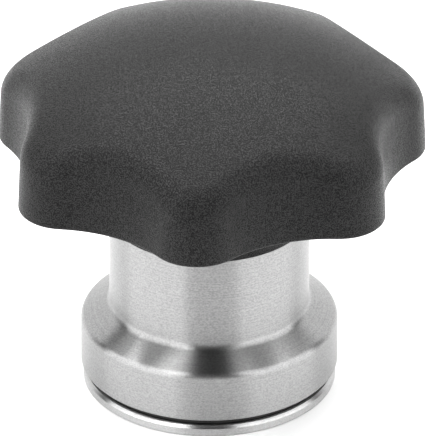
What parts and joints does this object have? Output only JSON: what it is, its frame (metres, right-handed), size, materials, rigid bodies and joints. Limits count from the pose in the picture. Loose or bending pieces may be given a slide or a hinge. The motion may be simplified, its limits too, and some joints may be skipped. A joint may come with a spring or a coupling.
{
  "type": "star knob",
  "caption": "Star knob with a lobed moulded grip on a turned stainless hub, whose flange holds an axial ball bearing and a turning pressure disc.",
  "frame": {"origin": "on the knob's axis, in the plane of the pressure disc's lower face, which is the face that clamps", "axes": "+Z along the knob's axis from the pressure disc up to the domed grip; one lobe points along -Y"},
  "size_m": [0.0617, 0.0605, 0.0547],
  "materials": {
    "grip_plastic": "matte moulded, fine grain",
    "hub_steel": "fine turned",
    "disc_steel": "fine turned",
    "washer_steel": "ground",
    "ball_steel": "polished",
    "cage_plastic": "moulded",
    "ring_wire": "drawn spring wire",
    "seal_rubber": "smooth black rubber"
  },
  "bodies": {
    "knob": {"star_grip": "grip_plastic", "hub": "hub_steel", "bearing_upper_washer": "washer_steel"},
    "pressure_foot": {"pressure_disc": "disc_steel", "bearing_lower_washer": "washer_steel", "snap_ring": "ring_wire", "seal_ring": "seal_rubber"},
    "ball_set": {"ball_cage": "cage_plastic", "ball_01": "ball_steel", "ball_02": "ball_steel", "ball_03": "ball_steel", "ball_04": "ball_steel", "ball_05": "ball_steel", "ball_06": "ball_steel", "ball_07": "ball_steel", "ball_08": "ball_steel", "ball_09": "ball_steel", "ball_10": "ball_steel", "ball_11": "ball_steel", "ball_12": "ball_steel"}
  },
  "joints": [
    {"name": "disc_spin", "type": "hinge", "parent": "knob", "child": "pressure_foot", "pos_m": [0, 0, 0], "axis": [0, 0, 1], "continuous": true},
    {"name": "ball_orbit", "type": "hinge", "parent": "knob", "child": "ball_set", "pos_m": [0, 0, 0.00615], "axis": [0, 0, 1], "continuous": true}
  ],
  "couplings": [
    {"joint": "ball_orbit", "follows": "disc_spin", "ratio": 0.5}
  ]
}
